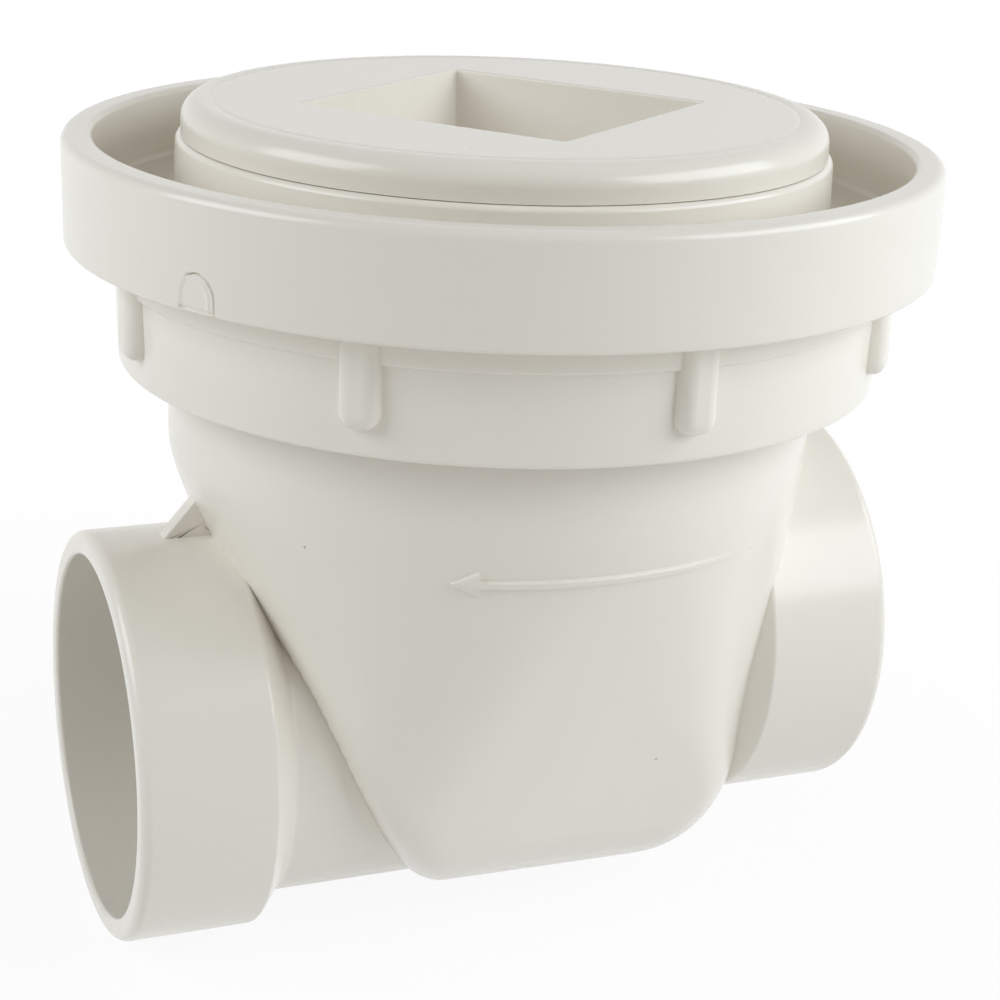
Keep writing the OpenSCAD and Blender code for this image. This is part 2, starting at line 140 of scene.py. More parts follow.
TAIL_LEAN = np.tan(np.radians(25.5))
TAIL_HALF = 53.0
TAIL_ROUND = 10.5
TAIL_DROP = 44.4
TAIL_SIDE, TAIL_FOOT = 6.0, 22.0
NOSE_X = ACCESS_X + 61.7
NOSE_ROUND = 25.0
FACET_FACING = np.array([[0.0955, -0.9194, -0.3816], [0.0955, 0.9194, -0.3816]])
FACET_REACH = 59.64
FORMER_STEP = np.radians(7.5)
FACING_STEP = 1.5
RAY_CENTRE = np.array([ACCESS_X, 0.0, 30.0])
RAY_ROWS, RAY_COLUMNS = 150, 288
SOFTENING = 4
HALVINGS = 24
HOLE_R = 42.9
SHARP_EDGE = np.radians(48)


def rounded(points, spacing=3.0, bunch=0.4):
    """Closed outline through (a, b, rounding) points: each corner becomes an arc that touches both of its
    sides, and the straight stretches are cut up, with one short cut next to each arc to keep them flat.
    A fourth number in a point is the length of the cuts up to the next point."""
    spots = np.array([p[:2] for p in points], float)
    radii = np.array([p[2] for p in points], float)
    side = np.roll(spots, -1, 0) - spots
    side /= np.linalg.norm(side, axis=1)[:, None]
    into = np.roll(side, 1, 0)
    turn = np.arctan2(into[:, 0] * side[:, 1] - into[:, 1] * side[:, 0], (into * side).sum(1))
    trim = radii * np.tan(np.abs(turn) / 2)
    outline = []
    for i, spot in enumerate(spots):
        inward = np.sign(turn[i]) * np.array([-into[i][1], into[i][0]])
        centre = spot - into[i] * trim[i] + inward * radii[i]
        sweep = np.linspace(0, turn[i], 2 + int(abs(turn[i]) / 0.2))[:, None]
        spoke = -inward * radii[i]
        outline.append(centre + spoke * np.cos(sweep) + np.array([-spoke[1], spoke[0]]) * np.sin(sweep))
        following = (i + 1) % len(spots)
        start = spot + side[i] * trim[i]
        length = np.linalg.norm(spots[following] - spot) - trim[i] - trim[following]
        short = min(bunch, length / 4)
        step = points[i][3] if len(points[i]) > 3 else spacing
        cuts = np.linspace(short, length - short, 2 + int(length / step))
        outline.append(start + side[i] * cuts[:, None])
    return np.vstack(outline)


def turned(outline, angles, axis="z", centre=(0.0, 0.0, 0.0)):
    """Surface of revolution: every (along, radius) point of the outline runs round an axis through centre."""
    along, radius = outline[None, :, 0], outline[None, :, 1]
    turn = angles[:, None]
    flat = [radius * np.cos(turn), radius * np.sin(turn)]
    level = along + 0 * turn
    rows = [level, *flat] if axis == "x" else [*flat, level]
    return np.stack(rows, axis=-1) + np.asarray(centre)


def full_turn(count):
    """Evenly spaced angles of one turn."""
    return np.linspace(0, 2 * np.pi, count, endpoint=False)


class Patch:
    """Grid of points in millimetres, with quads between neighbours. A wrapped direction closes on itself,
    keep says which of the quads stay, and the quads face outwards once the patch's volume is positive."""

    def __init__(self, points, wrap_rows=True, wrap_columns=True, keep=None):
        rows, columns = points.shape[:2]
        index = np.arange(rows * columns).reshape(rows, columns)
        if wrap_rows:
            index = np.vstack([index, index[:1]])
        if wrap_columns:
            index = np.hstack([index, index[:, :1]])
        quads = np.stack([index[:-1, :-1], index[1:, :-1], index[1:, 1:], index[:-1, 1:]], axis=-1)
        self.points = points.reshape(-1, 3)
        self.quads = quads[keep] if keep is not None else quads.reshape(-1, 4)
        a, b, c, d = (self.points[quads.reshape(-1, 4)[:, k]] - self.points.mean(0) for k in range(4))
        volume = (a * (np.cross(b, c) + np.cross(c, d))).sum()
        if volume < 0:
            self.quads = self.quads[:, ::-1]


def piece(name, patches, body, slot, material, *nodes):
    """Mesh object of the patches, which rides on a body and stands for the named solids."""
    starts = np.cumsum([0] + [len(p.points) for p in patches])
    points = np.vstack([p.points for p in patches]) * MM
    quads = np.vstack([p.quads + start for p, start in zip(patches, starts)])
    mesh = bpy.data.meshes.new(name)
    mesh.from_pydata(points.tolist(), [], quads.tolist())
    shell = bmesh.new()
    shell.from_mesh(mesh)
    bmesh.ops.remove_doubles(shell, verts=shell.verts, dist=1e-6)
    bmesh.ops.delete(shell, geom=[v for v in shell.verts if not v.link_faces], context="VERTS")
    shell.to_mesh(mesh)
    shell.free()
    mesh.polygons.foreach_set("use_smooth", np.ones(len(mesh.polygons), bool))
    mesh.set_sharp_from_angle(angle=SHARP_EDGE)
    mesh.materials.append(material)
    made = bpy.data.objects.new(name, mesh)
    bpy.context.scene.collection.objects.link(made)
    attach(made, body)
    if nodes:
        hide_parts(*nodes)
    return made


class Value:
    """Shader socket that Python arithmetic works on: every operator adds one Math node to its finish."""

    def __init__(self, finish, socket):
        self.finish = finish
        self.socket = socket

    def math(self, operation, first, second):
        """One Math node on two values or numbers."""
        return self.finish.node("ShaderNodeMath", {"operation": operation}, {0: first, 1: second})

    def __add__(self, other):
        return self.math("ADD", self, other)

    __radd__ = __add__

    def __mul__(self, other):
        return self.math("MULTIPLY", self, other)

    __rmul__ = __mul__

    def __lt__(self, other):
        return self.math("LESS_THAN", self, other)

    def __gt__(self, other):
        return self.math("GREATER_THAN", self, other)


class Finish:
    """Material or world under construction, with the node that its values feed in the end."""

    def __init__(self, owner, last="Principled BSDF"):
        owner.use_nodes = True
        self.owner = owner
        self.tree = owner.node_tree
        self.surface = self.tree.nodes[last]

    def node(self, kind, settings=None, sockets=None, output=0):
        """Adds a node: its settings are set first, then its sockets get their values or links."""
        added = self.tree.nodes.new(kind)
        for key, setting in (settings or {}).items():
            setattr(added, key, setting)
        self.feed(added, sockets or {})
        return Value(self, added.outputs[output])

    def feed(self, node, sockets):
        """Sets or links the sockets of a node."""
        for key, given in sockets.items():
            if isinstance(given, Value):
                self.tree.links.new(given.socket, node.inputs[key])
            else:
                node.inputs[key].default_value = given

    def place(self):
        """The point on the piece, in metres in the object's own frame."""
        return self.node("ShaderNodeTexCoord", output=3)

    def noise(self, scale, detail=2.0, roughness=0.5):
        """Cloudy values from 0 to 1, with scale clouds to the metre."""
        sockets = {"Vector": self.place(), "Scale": scale, "Detail": detail, "Roughness": roughness}
        return self.node("ShaderNodeTexNoise", None, sockets)

    def mix(self, share, first, second):
        """Colour between two colours."""
        sockets = {0: share, 6: first, 7: second}
        return self.node("ShaderNodeMix", {"data_type": "RGBA"}, sockets, output=2)

    def bump(self, height, strength, distance):
        """Normal of a surface with that relief, whose full height is distance in metres."""
        sockets = {"Height": height, "Strength": strength, "Distance": distance}
        return self.node("ShaderNodeBump", None, sockets)


PVC_WARM = (0.880, 0.842, 0.774, 1.0)
PVC_PALE = (0.900, 0.864, 0.800, 1.0)
SPECK_BROWN = (0.30, 0.26, 0.20, 1.0)
SPECK_CELLS = 95.0
SPECK_SIZE = 0.035
SPECK_SHARE = 0.07


def white_pvc():
    """Moulded PVC: warm white with faint clouds from the melt's flow, a few dark specks in the resin,
    a satin skin whose gloss wanders, and a very fine orange peel."""
    finish = Finish(bpy.data.materials.new("white_pvc"))
    clouds = finish.noise(24.0, 3.0)
    cells = {"Vector": finish.place(), "Scale": SPECK_CELLS}
    distance = finish.node("ShaderNodeTexVoronoi", None, cells)
    middle = finish.node("ShaderNodeTexVoronoi", None, cells, output=2)
    chance = finish.node("ShaderNodeTexWhiteNoise", None, {"Vector": middle})
    speck = (distance < SPECK_SIZE) * (chance > 1 - SPECK_SHARE)
    plain = finish.mix(clouds, PVC_WARM, PVC_PALE)
    colour = finish.mix(speck * 0.6, plain, SPECK_BROWN)
    peel = finish.noise(1500.0, 2.0) * 0.4 + finish.noise(90.0, 1.0)
    finish.feed(finish.surface, {
        "Base Color": colour,
        "Roughness": 0.20 + 0.03 * finish.noise(60.0, 1.0),
        "Specular IOR Level": 0.5,
        "Normal": finish.bump(peel, 0.04, 0.0002),
    })
    return finish.owner


PVC = white_pvc()


def chamber_planes(shrink):
    """The planes that touch the chamber's skin all round, taken in by shrink: for every direction, the plane
    that touches the farthest of the round formers, and last the two flat facets low on the trough's sides.
    Each is kept as its normal over its distance from the ray centre, so a point lies inside the skin where
    all the products with it stay under one."""
    quarter = np.arange(13) * FORMER_STEP
    level = [(ACCESS_X, SPIGOT_TOP, CHAMBER_R), (ACCESS_X, BAND_Z, CHAMBER_R)]
    level += [
        (ACCESS_X - BOWL_SHIFT, BOWL_Z - BOWL_ROUND * np.sin(a), CHAMBER_R - BOWL_ROUND * (1 - np.cos(a)))
        for a in quarter
    ]
    nose = [
        (NOSE_X - NOSE_ROUND * (1 - np.sin(a)), TROUGH_R - NOSE_ROUND * (1 - np.cos(a)))
        for a in quarter
    ]
    tail = [
        (TAIL_X + TAIL_ROUND * (1 - np.sin(a)), TAIL_HALF - TAIL_SIDE * (1 - np.cos(a)),
         TAIL_DROP - TAIL_FOOT * (1 - np.cos(a)))
        for a in quarter
    ]
    turns, climbs = np.arange(0, 360, FACING_STEP), np.arange(FACING_STEP / 2 - 90, 90, FACING_STEP)
    turn, climb = np.meshgrid(np.radians(turns), np.radians(climbs))
    along, across, upward = np.cos(turn) * np.cos(climb), np.sin(turn) * np.cos(climb), np.sin(climb)
    normals = np.stack([along, across, upward], axis=-1).reshape(-1, 3)
    along, across, upward = normals.T
    touches = [normals @ np.array([x, 0, z]) + (r - shrink) * np.hypot(along, across) for x, z, r in level]
    touches += [along * min(x, NOSE_X - shrink) - upward * TROUGH_DROP
                + (r - shrink) * np.hypot(across, upward) for x, r in nose]
    leant = upward - TAIL_LEAN * along
    touches += [along * max(x, TAIL_X + shrink) - upward * TROUGH_DROP
                + np.hypot((half - shrink) * across, (drop - shrink) * leant) for x, half, drop in tail]
    normals = np.vstack([normals, FACET_FACING])
    farthest = np.append(np.max(touches, axis=0), [FACET_REACH - shrink] * 2) - normals @ RAY_CENTRE
    return normals / farthest[:, None]


def skin_share(points, planes):
    """How far out each point lies: 1 on the chamber's skin, less inside. Also the skin's normal there."""
    flat = (points - RAY_CENTRE).reshape(-1, 3)
    share, facing = np.empty(len(flat)), np.empty((len(flat), 3))
    for part in np.array_split(np.arange(len(flat)), 1 + len(flat) // 2000):
        products = flat[part] @ planes.T
        best = products.argmax(axis=1)
        share[part] = products[np.arange(len(part)), best]
        facing[part] = planes[best]
    facing /= np.linalg.norm(facing, axis=1)[:, None]
    return share.reshape(points.shape[:-1]), facing.reshape(points.shape)


def skin_crossing(outside, inside, planes):
    """Where each straight line from an outside point to an inside point enters the skin: the stretch that
    holds the crossing is halved again and again."""
    near, far = outside + 0 * inside, inside + 0 * outside
    for _ in range(HALVINGS):
        middle = (near + far) / 2
        within = skin_share(middle, planes)[0][..., None] < 1
        near, far = np.where(within, near, middle), np.where(within, middle, far)
    return near


def softened(radius, passes):
    """Radii of a ray grid with their ridges softened: each pass averages every radius with its neighbours."""
    for _ in range(passes):
        radius = 0.5 * radius + 0.25 * (np.roll(radius, 1, 1) + np.roll(radius, -1, 1))
        padded = np.pad(radius, ((1, 1), (0, 0)), "edge")
        radius = 0.5 * radius + 0.25 * (padded[:-2] + padded[2:])
    return radius


skin = chamber_planes(0.0)
top_slope = np.pi - np.arctan2(CHAMBER_R, SPIGOT_TOP - RAY_CENTRE[2])
slope, way = np.meshgrid(np.linspace(0, top_slope, RAY_ROWS), full_turn(RAY_COLUMNS), indexing="ij")
rays = np.stack([np.sin(slope) * np.cos(way), np.sin(slope) * np.sin(way), -np.cos(slope)], axis=-1)
share, _ = skin_share(RAY_CENTRE + rays, skin)
bowl = RAY_CENTRE + rays * softened(1 / share, SOFTENING)[..., None]

# The two pipe stubs pass through round holes: quads inside them go, and the points that are left on their
# edges are drawn onto the circle, where a line along the flow meets the skin.
at_outlet = bowl[..., 0] < ACCESS_X
bore_level = np.where(at_outlet, 0.0, INLET_Z)
bore_reach = np.hypot(bowl[..., 1], bowl[..., 2] - bore_level)
wall = bore_reach > HOLE_R
closed = np.hstack([wall, wall[:, :1]])
solid = closed[:-1, :-1] & closed[1:, :-1] & closed[1:, 1:] & closed[:-1, 1:]
cut = np.pad(~solid, ((1, 1), (0, 0)))
cut = cut[:-1] | cut[1:]
hole_edge = (cut | np.roll(cut, 1, axis=1)) & wall
drawn = (HOLE_R / bore_reach)[hole_edge]
across, level = bowl[hole_edge, 1] * drawn, bore_level[hole_edge]
ring = np.stack([ACCESS_X + 0 * across, across, level + (bowl[hole_edge, 2] - level) * drawn], axis=-1)
away = np.where(at_outlet, -1, 1)[hole_edge, None] * np.array([2 * CHAMBER_R, 0, 0])
bowl[hole_edge] = skin_crossing(ring + away, ring, skin)
chamber = piece("chamber", [Patch(bowl, wrap_rows=False, keep=solid)], "body", "pvc", PVC, "valve_body")
thickness = chamber.modifiers.new("wall", "SOLIDIFY")
thickness.thickness = CHAMBER_WALL * MM
thickness.offset = -1
thickness.use_even_offset = True

around = full_turn(192)
LIP_ROUND = 1.0
STUB_FREE = HUB_LENGTH + SHOULDER + 2.0
STUB_NOMINAL = HUB_LENGTH + 34.0


def pipe_hub(mouth, way, level, stub_end):
    """Pipe hub and stub, turned about the flow: along runs from the mouth at x = mouth, to the side that way
    gives, and past the shoulder it is stretched so that the stub ends at x = stub_end."""
    outline = rounded([
        (0, HUB_R, MOUTH_ROUND),
        (HUB_LENGTH, HUB_R, 1.2),
        (HUB_LENGTH + SHOULDER, STUB_R, 2.0),
        (STUB_NOMINAL, STUB_R, 0.3),
        (STUB_NOMINAL, BORE_R, 0.3),
        (SOCKET_DEPTH, BORE_R, 0.8),
        (SOCKET_DEPTH, SOCKET_R, 0.5),
        (0, SOCKET_R, LIP_ROUND),
    ])
    shape = turned(outline, around, "x", (0, 0, level))
    stretch = np.clip((shape[..., 0] - STUB_FREE) / (STUB_NOMINAL - STUB_FREE), 0, 1)
    reach = way * (stub_end(shape) - mouth)
    along = np.where(stretch > 0, STUB_FREE + stretch * (reach - STUB_FREE), shape[..., 0])
    shape[..., 0] = mouth + way * along
    return shape


def outlet_end(shape):
    """The outlet's stub stops on the chamber's inner skin."""
    ring = np.stack([0 * around, np.cos(around), np.sin(around)], axis=-1) * (STUB_R + BORE_R) / 2
    start, stop = np.array([HUB_LENGTH, 0, 0]), np.array([ACCESS_X, 0, 0])
    end = skin_crossing(ring + start, ring + stop, chamber_planes(CHAMBER_WALL))
    return end[:, None, 0] + 0 * shape[..., 0]


outlet_hub = pipe_hub(0.0, 1, 0.0, outlet_end)
piece("outlet_hub", [Patch(outlet_hub)], "body", "pvc", PVC)


def capped(rows):
    """Stack of outlines that is closed by a point in the middle of its first and of its last one."""
    first, last = (np.broadcast_to(r.mean(0), r.shape)[None] for r in (rows[0], rows[-1]))
    return np.concatenate([first, rows, last])


def slab(outline, low, high, edge):
    """Plate with rounded edges, as (a, b, level) rows: the outline is carried from low to high and drawn in
    at both ends by a quarter circle, and a point in its middle closes each face."""
    ahead = np.roll(outline, -1, 0) - outline
    ahead /= np.linalg.norm(ahead, axis=1)[:, None]
    ahead += np.roll(ahead, 1, 0)
    inward = np.stack([-ahead[:, 1], ahead[:, 0]], axis=-1) / np.linalg.norm(ahead, axis=1)[:, None]
    quarter = np.radians(np.linspace(90, 0, 5))
    rim = np.append(edge + 0.25, edge * (1 - np.cos(quarter)))
    step = np.append(0, edge * (1 - np.sin(quarter)))
    level = np.concatenate([low + step, (high - step)[::-1]])
    drawn = np.concatenate([rim, rim[::-1]])
    rows = outline + drawn[:, None, None] * inward
    rows = np.concatenate([rows, np.broadcast_to(level[:, None, None], rows[..., :1].shape)], axis=-1)
    return capped(rows)


GUSSET_HALF = 2.3
GUSSET_TOP = 61.0
GUSSET_FRONT, GUSSET_CREST, GUSSET_BACK = 17.0, 26.2, 33.5
GUSSET_FOOT = HUB_R - 2.5
gusset_outline = rounded([
    (GUSSET_FRONT, GUSSET_FOOT, 0.3),
    (GUSSET_BACK, GUSSET_FOOT, 0.3),
    (GUSSET_BACK, GUSSET_TOP, 0.3),
    (GUSSET_CREST, GUSSET_TOP, 1.6),
    (GUSSET_FRONT, HUB_R - 0.3, 0.3),
], spacing=1.0)
web = slab(gusset_outline, -GUSSET_HALF, GUSSET_HALF, 0.5)
piece("gusset", [Patch(web[..., [0, 2, 1]], wrap_rows=False)], "body", "pvc", PVC)

ARROW_LEVEL = 59.0
ARROW_TIP, ARROW_NECK, ARROW_TAIL = np.radians([-118.2, -113.5, -59.1])
ARROW_TAPER = 0.35
ARROW_TIP_HALF = 0.15
ARROW_HEAD_HALF = 3.3
ARROW_SHAFT_HALF = 0.95
ARROW_HEIGHT = 1.0
OUTSIDE = 100.0


def raised_mark(way, half):
    """Raised line on the chamber, along the level of the arrow: way gives the bearings from end to end and
    half the half width at each. Across, the height is a flat top with rounded shoulders."""
    across = np.array([-1.12, -1.0, -0.9, -0.7, 0, 0.7, 0.9, 1.0, 1.12])
    height = np.array([-0.6, 0.1, 0.75, 1.0, 1.0, 1.0, 0.75, 0.1, -0.6]) * ARROW_HEIGHT
    level = ARROW_LEVEL + across[None, :] * half[:, None]
    out = np.stack([np.cos(way), np.sin(way), 0 * way], -1)[:, None, :]
    axis = np.stack([ACCESS_X + 0 * level, 0 * level, level], axis=-1)
    ground = skin_crossing(axis + OUTSIDE * out, axis, skin)
    _, facing = skin_share(ground, skin)
    top = ground + facing * height[None, :, None]
    return capped(np.concatenate([top, (ground - facing)[:, ::-1]], axis=1))


head_way = np.linspace(ARROW_TIP, ARROW_NECK, 14)
head_half = np.linspace(ARROW_TIP_HALF, ARROW_HEAD_HALF, 14)
shaft_way = np.linspace(ARROW_NECK, ARROW_TAIL, 90)
shaft_half = ARROW_SHAFT_HALF * np.interp(shaft_way, [ARROW_TAIL - ARROW_TAPER, ARROW_TAIL], [1.0, 0.45])
piece("flow_arrow", [
    Patch(raised_mark(head_way, head_half), wrap_rows=False),
    Patch(raised_mark(shaft_way, shaft_half), wrap_rows=False),
], "body", "pvc", PVC)


# Inlet hub. A second PVC moulding, cemented into the chamber's far end 19 mm above the outlet. Its stub runs
# on inside the chamber and is cut off at a slant, and that slanted end is the flapper's seat. A flat pad on
# top of the stub carries the hinge.
INLET_X = mounts["inlet_socket"]["pos_m"][0] / MM
SEAT_X = 127.1
SEAT_TILT = np.radians(15)
PAD_FRONT, PAD_HALF, PAD_TOP = 143.03, 24.0, 65.1


def seat_end(shape):
    """The inlet's stub stops on the seat: a plane through the axis at SEAT_X that leans upstream."""
    return SEAT_X + (shape[..., 2] - INLET_Z) * np.tan(SEAT_TILT)


inlet_hub = pipe_hub(INLET_X, -1, INLET_Z, seat_end)
pad = slab(rounded([
    (PAD_FRONT, -PAD_HALF, 1.5),
    (INLET_X - HUB_LENGTH, -PAD_HALF, 0.5),
    (INLET_X - HUB_LENGTH, PAD_HALF, 0.5),
    (PAD_FRONT, PAD_HALF, 1.5),
]), INLET_Z + BORE_R / 2, PAD_TOP, 0.6)
pad[..., 2] = np.maximum(pad[..., 2], INLET_Z + np.sqrt(((STUB_R + BORE_R) / 2) ** 2 - pad[..., 1] ** 2))
inlet = [Patch(inlet_hub), Patch(pad, wrap_rows=False)]
piece("inlet_hub_moulding", inlet, "body", "pvc", PVC, "inlet_hub")


# Access collar. A wide PVC ring moulded on its own and cemented over the chamber's spigot: a band with eight
# ribs, a strip above it, and a tall rim whose channel takes the riser pipe. The half moon low on the rim is
# where the gate of the mould was broken off.
RIM_R = collar_high[0] - ACCESS_X
RIM_TOP = collar_high[2]
RIM_FOOT = 119.6
CHANNEL_FLOOR = 128.4
CHANNEL_R = 98.2
BAND_TOP = 112.2
BAND_R = 92.55
STRIP_R = 94.5
RIM_DRAFT = 0.3
FINE_BELOW = 130.0
GROOVE_IN, GROOVE_OUT = 83.85, 88.05
CEMENT = 0.05
RIB_FACE = 96.7
RIB_HALF = 4.7
RIB_FOOT, RIB_TOP = 97.6, RIM_FOOT + 7.0
RIB_ROOT = BAND_R - 4.5
RIB_CORNER = 3.6
RIB_CROWN = 3.1
RIB_TURN = np.radians(5.05)
GATE_WAY = np.radians(-149.6)
GATE_HALF = 5.15
GATE_ARC = 123.2

collar_outline = rounded([
    (BAND_Z, CHAMBER_R + CEMENT, 0.3),
    (SPIGOT_TOP, CHAMBER_R + CEMENT, 0.0),
    (CHANNEL_FLOOR, CHAMBER_R + CEMENT, 0.3),
    (CHANNEL_FLOOR, CHANNEL_R, 1.2),
    (RIM_TOP, CHANNEL_R, 1.4),
    (RIM_TOP, RIM_R, 2.2),
    (FINE_BELOW, RIM_R - 0.6 * RIM_DRAFT, 0.0, 0.3),
    (RIM_FOOT, RIM_R - RIM_DRAFT, 0.9),
    (RIM_FOOT, STRIP_R, 0.8),
    (BAND_TOP, STRIP_R, 0.9),
    (BAND_TOP, BAND_R + 0.75, 0.3),
    (BAND_Z, BAND_R, 1.0),
    (BAND_Z, GROOVE_OUT, 0.5),
    (SPIGOT_TOP, GROOVE_OUT, 0.8),
    (SPIGOT_TOP, GROOVE_IN, 0.8),
    (BAND_Z, GROOVE_IN, 0.5),
])
gate_ways = GATE_WAY + np.linspace(-0.075, 0.075, 60)
collar_ways = np.unique(np.concatenate([full_turn(240) - np.pi, gate_ways]))
collar = turned(collar_outline, collar_ways, "z", (ACCESS_X, 0, 0))


def rise(value, start, stop):
    """Smooth step of an array from 0 at start to 1 at stop."""
    share = np.clip((value - start) / (stop - start), 0, 1)
    return share * share * (3 - 2 * share)


def gate_scar(along, level):
    """Depth of the gate's half moon: a shallow arch with a soft left side and a cut along its right side and
    its foot. along is measured round the rim from the middle of the mark."""
    past = np.hypot(along, np.maximum(level - GATE_ARC, 0)) - GATE_HALF
    bed = 0.3 * rise(-past, 0.0, 1.1)
    crescent = 0.22 * np.exp(-((past + 1.7) / 0.45) ** 2) * rise(along, 0.5, 2.5)
    cut = 1.1 * np.exp(-(past / 0.24) ** 2) * rise(along + 0.6 * (level - GATE_ARC), -1.5, 1.5)
    foot = 0.7 * np.exp(-((level - RIM_FOOT - 1.0) / 0.25) ** 2) * (past < 0)
    return np.maximum(bed - crescent, 0) + cut + foot


outward = np.stack([np.cos(collar_ways), np.sin(collar_ways), 0 * collar_ways], axis=-1)[:, None, :]
reach = np.hypot(collar[..., 0] - ACCESS_X, collar[..., 1])
scar = gate_scar((collar_ways[:, None] - GATE_WAY) * RIM_R, collar[..., 2]) * (reach > RIM_R - 1.5)
collar = collar - outward * scar[..., None]

rib_outline = rounded([
    (-RIB_HALF, RIB_FOOT, RIB_CORNER),
    (RIB_HALF, RIB_FOOT, RIB_CORNER),
    (RIB_HALF, RIB_TOP, RIB_CORNER),
    (-RIB_HALF, RIB_TOP, RIB_CORNER),
], spacing=1.5)
rib = slab(rib_outline, RIB_ROOT, RIB_FACE, RIB_CROWN)


def on_collar(shape, way):
    """Turns (across, height, out) points to the collar's side at that bearing."""
    out, side = np.array([np.cos(way), np.sin(way), 0]), np.array([-np.sin(way), np.cos(way), 0])
    upright = np.array([0, 0, 1.0])
    return shape[..., 2:] * out + shape[..., :1] * side + shape[..., 1:2] * upright + [ACCESS_X, 0, 0]


ribs = [Patch(on_collar(rib, RIB_TURN + k * np.pi / 4), wrap_rows=False) for k in range(8)]
piece("collar_ring", [Patch(collar), *ribs], "body", "pvc", PVC, "access_collar")


# Threaded neck. A PVC ring cemented into the collar's middle. It stands up inside the channel, takes the plug
# in a coarse right-hand thread on its inside, and its top edge carries the gasket inside a low lip.
NECK_BORE = 73.6
NECK_FOOT, NECK_TOP = corners("threaded_neck")[:, 2]
PITCH = 6.35
THREAD_TURNS = 2.5
RIDGE_FOOT, RIDGE_CREST = 3.2, 1.8
NECK_CREST = 71.3
GASKET_R, HEAD_Z = corners("plug_gasket")[1][1:]
LIP_Z = HEAD_Z - 0.3
NECK_THREAD_Z = 122.825


def thread_ridge(foot, crest, start):
    """Helical ridge: a trapezium from the foot's radius to the crest's climbs by one pitch a turn, and the
    crest sinks away over the last sixth of a turn at both ends."""
    way = np.linspace(0, 2 * np.pi * THREAD_TURNS, 241)
    share = np.clip(np.minimum(way, way[-1] - way) / (np.pi / 3), 0.12, 1)
    height = np.array([0, 0.9, 1, 1, 0.9, 0])
    radius = foot + (crest - foot) * share[:, None] * height
    flank = np.array([RIDGE_FOOT, RIDGE_CREST + 0.2, RIDGE_CREST - 0.4]) / 2
    lean = np.concatenate([-flank, flank[::-1]])
    level = start + PITCH * way[:, None] / (2 * np.pi) + lean
    turn = way[:, None]
    return capped(np.stack([ACCESS_X + radius * np.cos(turn), radius * np.sin(turn), level], axis=-1))


neck_outline = rounded([
    (NECK_FOOT, NECK_BORE, 0.3),
    (NECK_TOP, NECK_BORE, 0.4),
    (NECK_TOP, GASKET_R + 0.1, 0.1),
    (LIP_Z, GASKET_R + 0.1, 0.1),
    (LIP_Z, CHAMBER_R - 0.5, 1.4),
    (CHANNEL_FLOOR, CHAMBER_R, 0.0),
    (NECK_FOOT, CHAMBER_R, 0.3),
])
neck = turned(neck_outline, full_turn(240), "z", (ACCESS_X, 0, 0))
neck_thread = thread_ridge(NECK_BORE + 1.0, NECK_CREST, NECK_THREAD_Z)
piece("neck_ring", [Patch(neck), Patch(neck_thread, wrap_rows=False)], "body", "pvc", PVC, "threaded_neck")


# Cleanout plug. One hollow PVC moulding: a flat head with a rounded edge, a square countersunk socket for the
# key, and a threaded shank. It screws down into the neck until its head presses the gasket.
SHANK_Z, HEAD_TOP = corners("cleanout_plug")[:, 2]
HEAD_R = 77.6
HEAD_ROUND = 5.0
SEAM = 0.15
PLUG_WALL = 5.0
PLUG_CORE, PLUG_CREST = 70.6, 72.9
PLUG_THREAD_Z = 126.0
SOCKET_HALF = 35.6
SOCKET_DRAFT = 0.8
FLOOR_ROUND = 1.4
SOCKET_FLOOR = 129.2
SOCKET_TURN = np.radians(38)
SOCKET_EDGE = 0.6
SOCKET_CORNER = 0.6
HEAD_LINE = 70.4


def square_reach(half, corner, way):
    """Distance from the middle to a square with round corners, in every direction: the straight side's
    distance over the cosine, or in a corner the far crossing with that corner's circle."""
    folded = np.abs((way + np.pi / 4) % (np.pi / 2) - np.pi / 4)
    middle = half - corner
    side = half / np.cos(folded)
    spread = np.maximum(corner ** 2 - (middle * (np.cos(folded) - np.sin(folded))) ** 2, 0)
    bend = middle * (np.cos(folded) + np.sin(folded)) + np.sqrt(spread)
    return np.where(half * np.tan(folded) > middle, bend, side)


def plug_columns():
    """Directions for the plug's grid: spread along each side of the socket, and close together in its
    corners."""
    limit = np.arctan2(SOCKET_HALF - SOCKET_CORNER, SOCKET_HALF)
    side = np.arctan(np.linspace(-np.tan(limit), np.tan(limit), 46))
    corner = np.linspace(limit, np.pi / 2 - limit, 9)[1:-1]
    return np.concatenate([np.concatenate([side, corner]) + k * np.pi / 2 for k in range(4)])


plug_ways = plug_columns()
arc = np.radians(np.linspace(0, 90, 8))


